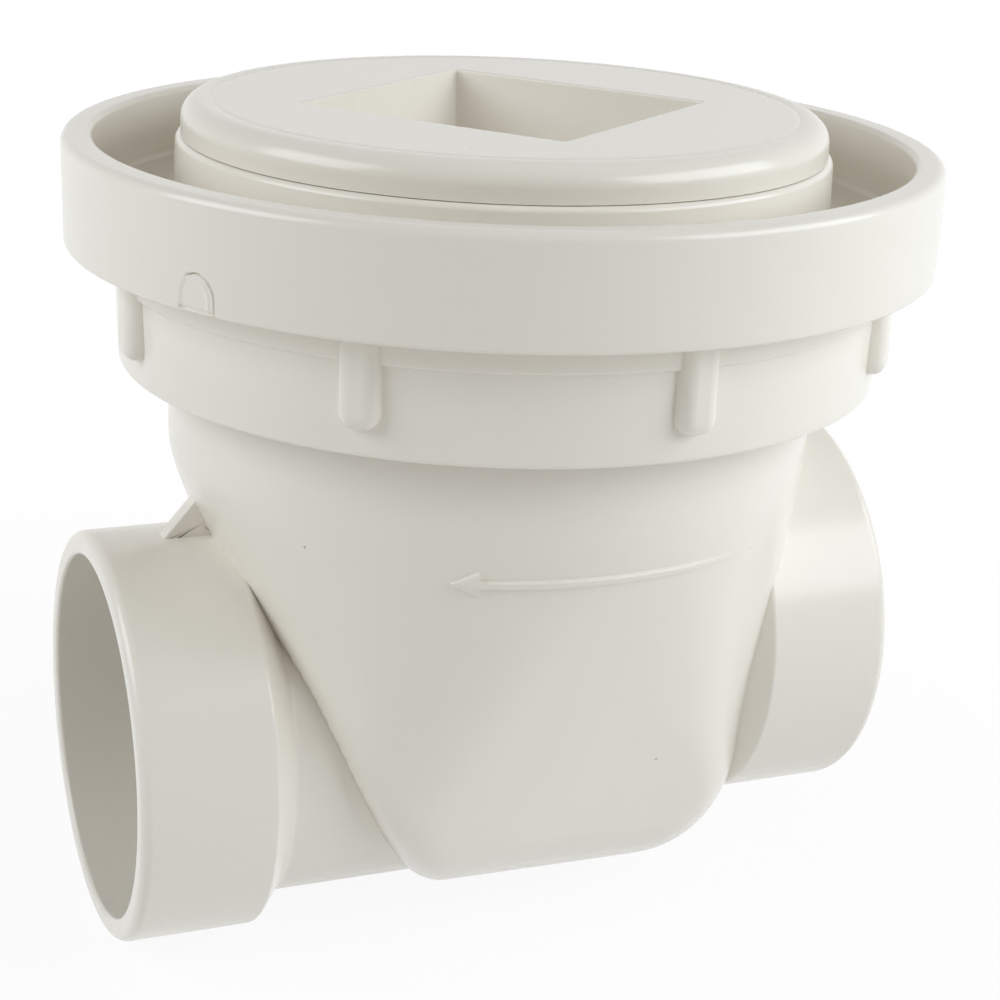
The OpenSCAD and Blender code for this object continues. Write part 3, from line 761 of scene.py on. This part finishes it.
def plug_rows():
    """Rows of the plug from the socket's floor over the head, down the shank and back under the socket, each
    as (half side of a square, its corner, share of the circle, radius of the circle, level)."""
    foot = SOCKET_HALF - SOCKET_DRAFT
    flat = foot - FLOOR_ROUND
    rows = [(h, 2.0, 0, 0, SOCKET_FLOOR) for h in (0.0, 12.0, 24.0, flat - 1.3, flat)]
    rows += [(flat + FLOOR_ROUND * np.sin(a), SOCKET_CORNER, 0, 0,
              SOCKET_FLOOR + FLOOR_ROUND * (1 - np.cos(a))) for a in arc]
    wall_top = HEAD_TOP - SOCKET_EDGE
    wall_foot = SOCKET_FLOOR + FLOOR_ROUND + 0.3
    rows += [(foot + SOCKET_DRAFT * t, SOCKET_CORNER, 0, 0, wall_foot + (wall_top - 0.3 - wall_foot) * t)
             for t in np.linspace(0, 1, 9)]
    rows += [(SOCKET_HALF + SOCKET_EDGE * (1 - np.cos(a)), SOCKET_CORNER + SOCKET_EDGE * (1 - np.cos(a)),
              0, 0, wall_top + SOCKET_EDGE * np.sin(a)) for a in arc]
    rim_half = SOCKET_HALF + SOCKET_EDGE
    rows += [(rim_half + 0.3, SOCKET_CORNER + SOCKET_EDGE, 0, 0, HEAD_TOP)]
    rows += [(rim_half + 0.3, SOCKET_CORNER + SOCKET_EDGE, t, HEAD_LINE - 1.5, HEAD_TOP)
             for t in np.linspace(0, 1, 16)[1:]]
    groove = [(-0.6, 0.0), (-0.3, 0.10), (0.0, 0.16), (0.3, 0.10), (0.6, 0.0)]
    rows += [(0, 0, 1, HEAD_LINE + d, HEAD_TOP - h) for d, h in groove]
    edge = HEAD_R - HEAD_ROUND
    rows += [(0, 0, 1, edge - 0.3, HEAD_TOP)]
    rows += [(0, 0, 1, edge + HEAD_ROUND * np.sin(a), HEAD_TOP - HEAD_ROUND * (1 - np.cos(a)))
             for a in np.radians(np.linspace(0, 90, 13))]
    rows += [(0, 0, 1, HEAD_R, HEAD_TOP - HEAD_ROUND - 0.3), (0, 0, 1, HEAD_R, HEAD_Z + 0.2)]
    rows += [(0, 0, 1, HEAD_R - SEAM * (1 - np.cos(a)), HEAD_Z - SEAM * np.sin(a)) for a in arc[::2]]
    rows += [(0, 0, 1, GASKET_R + 0.1, HEAD_Z - SEAM), (0, 0, 1, GASKET_R + 0.05, HEAD_Z)]
    rows += [(0, 0, 1, r, HEAD_Z) for r in (GASKET_R - 1.0, PLUG_CORE + 0.5)]
    rows += [(0, 0, 1, PLUG_CORE, z) for z in np.linspace(HEAD_Z - 0.4, SHANK_Z + 1.0, 8)]
    rows += [(0, 0, 1, PLUG_CORE - 0.3, SHANK_Z + 0.2), (0, 0, 1, PLUG_CORE - 0.8, SHANK_Z),
             (0, 0, 1, PLUG_CORE - PLUG_WALL + 0.5, SHANK_Z)]
    under = HEAD_TOP - PLUG_WALL
    rows += [(0, 0, 1, PLUG_CORE - PLUG_WALL, z) for z in np.linspace(SHANK_Z + 0.4, under - 0.6, 6)]
    box = SOCKET_HALF + PLUG_WALL
    rows += [(box + 0.6, SOCKET_CORNER, t, PLUG_CORE - PLUG_WALL - 0.6, under) for t in np.linspace(1, 0, 8)]
    bottom = SOCKET_FLOOR - PLUG_WALL
    rows += [(box, SOCKET_CORNER, 0, 0, z) for z in np.linspace(under - 0.6, bottom + 0.6, 6)]
    rows += [(h, 2.0, 0, 0, bottom) for h in (box - 0.5, 30.0, 15.0, 0.0)]
    return rows


half, corner, round_share, radius, level = (np.array(c, float)[:, None] for c in zip(*plug_rows()))
reach = (1 - round_share) * square_reach(half, corner, plug_ways[None, :]) + round_share * radius
turn = plug_ways[None, :] + SOCKET_TURN
plug = np.stack([ACCESS_X + reach * np.cos(turn), reach * np.sin(turn), level + 0 * turn], axis=-1)
plug_thread = thread_ridge(PLUG_CORE - 1.0, PLUG_CREST, PLUG_THREAD_Z)
plug_patches = [Patch(plug, wrap_rows=False), Patch(plug_thread, wrap_rows=False)]
piece("plug_moulding", plug_patches, "plug", "pvc", PVC, "cleanout_plug")


# Plug gasket. A flat ring of brown rubber that lies on the neck's top edge under the plug's head; only its
# outer edge shows, as a thin dark seam.
GASKET_BROWN = (0.16, 0.11, 0.065, 1.0)


def rubber(name, colour):
    """Moulded rubber: matt, with a dusty bloom in faint clouds and a fine grain."""
    finish = Finish(bpy.data.materials.new(name))
    bloom = finish.noise(120.0, 3.0)
    pale = tuple(0.75 * c + 0.06 for c in colour[:3]) + (1.0,)
    finish.feed(finish.surface, {
        "Base Color": finish.mix(bloom, colour, pale),
        "Roughness": 0.62 + 0.16 * bloom,
        "Specular IOR Level": 0.35,
        "Normal": finish.bump(finish.noise(2500.0, 2.0), 0.25, 0.0001),
    })
    return finish.owner


gasket_outline = rounded([
    (NECK_TOP, NECK_BORE, 0.2),
    (HEAD_Z, NECK_BORE, 0.2),
    (HEAD_Z, GASKET_R, 0.35),
    (NECK_TOP, GASKET_R, 0.35),
], spacing=1.2, bunch=0.1)
gasket = turned(gasket_outline, full_turn(200), "z", (ACCESS_X, 0, 0))
brown_rubber = rubber("brown_rubber", GASKET_BROWN)
piece("gasket_ring", [Patch(gasket)], "gasket", "gasket_rubber", brown_rubber, "plug_gasket")


# Hinge and flapper. A PVC saddle is screwed to the pad on the inlet's stub, a stainless pin passes through
# its two ears and the flapper's arms, and clips hold the pin. The flapper is a PVC disc whose black rubber
# ring is clamped by a stainless plate with six screws.
STEEL_GREY = (0.60, 0.59, 0.57, 1.0)
STEEL_PALE = (0.68, 0.67, 0.65, 1.0)
SEAL_BLACK = (0.025, 0.025, 0.027, 1.0)


def stainless():
    """Plain stainless steel: brushed in fine short scratches, with the gloss wandering a little."""
    finish = Finish(bpy.data.materials.new("stainless"))
    brushing = {"Vector": finish.place(), "Scale": (900.0, 40.0, 900.0)}
    stretched = finish.node("ShaderNodeMapping", None, brushing)
    scratch = finish.node("ShaderNodeTexNoise", None, {"Vector": stretched, "Scale": 1.0, "Detail": 2.0})
    finish.feed(finish.surface, {
        "Base Color": finish.mix(scratch, STEEL_GREY, STEEL_PALE),
        "Metallic": 1.0,
        "Roughness": 0.24 + 0.16 * scratch,
        "Normal": finish.bump(scratch, 0.15, 0.00005),
    })
    return finish.owner


def dress(material, *nodes):
    """Gives solids that keep their shape a better finish."""
    for node in nodes:
        for held in frame["nodes"][node].material_slots:
            held.material = material


dress(PVC, "hinge_saddle", "flapper")
dress(stainless(), "saddle_screws", "hinge_pin", "pin_clips", "seal_retainer", "retainer_screws")
dress(rubber("black_rubber", SEAL_BLACK), "flapper_seal")


# Studio. A white floor just under the hub, on which the valve stands, a white room for what the camera and
# the gloss see, and two large soft lamps at the sides.
FLOOR_Z = cad_box[0][2] - 0.0004
FLOOR_X = 0.1
FLOOR_HALF = 3.0
FLOOR_GREY = (0.9, 0.9, 0.9, 1.0)
WHITE = (1.0, 1.0, 1.0, 1.0)
SHADOW_NEAR, SHADOW_FAR = 0.10, 0.42
SHADOW_WHITE = 0.93


def sees_white(finish):
    """1 for what the camera, a reflection or a view through glass looks at straight, 0 for the rest."""
    looks = [finish.node("ShaderNodeLightPath", output=k) for k in (0, 3, 6)]
    total = looks[0] + looks[1] + looks[2]
    return finish.node("ShaderNodeMath", {"operation": "MINIMUM"}, {0: total, 1: 1.0})


def floor_white():
    """Matt white floor that takes the valve's shadow: seen straight it is mostly plain white, and wholly so
    farther out, where no shadow falls."""
    finish = Finish(bpy.data.materials.new("floor_white"))
    finish.feed(finish.surface, {"Base Color": FLOOR_GREY, "Roughness": 0.9})
    white = finish.node("ShaderNodeEmission", None, {"Color": WHITE, "Strength": 1.0})
    surface = Value(finish, finish.surface.outputs[0])
    away = finish.node("ShaderNodeVectorMath", {"operation": "LENGTH"}, {0: finish.place()}, output=1)
    plain = finish.node("ShaderNodeMapRange", {"interpolation_type": "SMOOTHSTEP"}, {
        "Value": away, "From Min": SHADOW_NEAR, "From Max": SHADOW_FAR,
        "To Min": SHADOW_WHITE, "To Max": 1.0})
    blend = finish.node("ShaderNodeMixShader", None, {0: sees_white(finish) * plain, 1: surface, 2: white})
    finish.feed(finish.tree.nodes["Material Output"], {"Surface": blend})
    return finish.owner


square = np.array([[-1.0, -1, 0], [1, -1, 0], [1, 1, 0], [-1, 1, 0]]) * FLOOR_HALF + [FLOOR_X, 0, FLOOR_Z]
floor_mesh = bpy.data.meshes.new("floor")
floor_mesh.from_pydata(square.tolist(), [], [[0, 1, 2, 3]])
floor_mesh.materials.append(floor_white())
floor = bpy.data.objects.new("floor", floor_mesh)
bpy.context.scene.collection.objects.link(floor)

AMBIENT = (0.228, 0.209, 0.174, 1.0)
room = Finish(bpy.data.worlds.new("white_room"), "Background")
bpy.context.scene.world = room.owner
room.feed(room.surface, {"Color": room.mix(sees_white(room), AMBIENT, WHITE), "Strength": 1.0})

LAMP_DISTANCE = 900
LAMP_ELEVATION = 29
LAMP_WHITE = (0.89, 0.95, 1.0)


def soft_lamp(name, azimuth, size, power):
    """Area lamp, size wide and high in metres, that faces the middle of the valve from one side."""
    lamp = bpy.data.lights.new(name, "AREA")
    lamp.shape = "RECTANGLE"
    lamp.size, lamp.size_y = size
    lamp.energy = power
    lamp.color = LAMP_WHITE
    way = bearing(azimuth, LAMP_ELEVATION)
    made = bpy.data.objects.new(name, lamp)
    made.matrix_world = aimed(VIEW_TARGET + LAMP_DISTANCE * way, way)
    bpy.context.scene.collection.objects.link(made)


soft_lamp("left_lamp", VIEW_AZIMUTH - 68, (0.62, 0.50), 3.6)
soft_lamp("right_lamp", VIEW_AZIMUTH + 74, (0.95, 0.50), 5.75)
bpy.context.scene.view_settings.view_transform = "Standard"
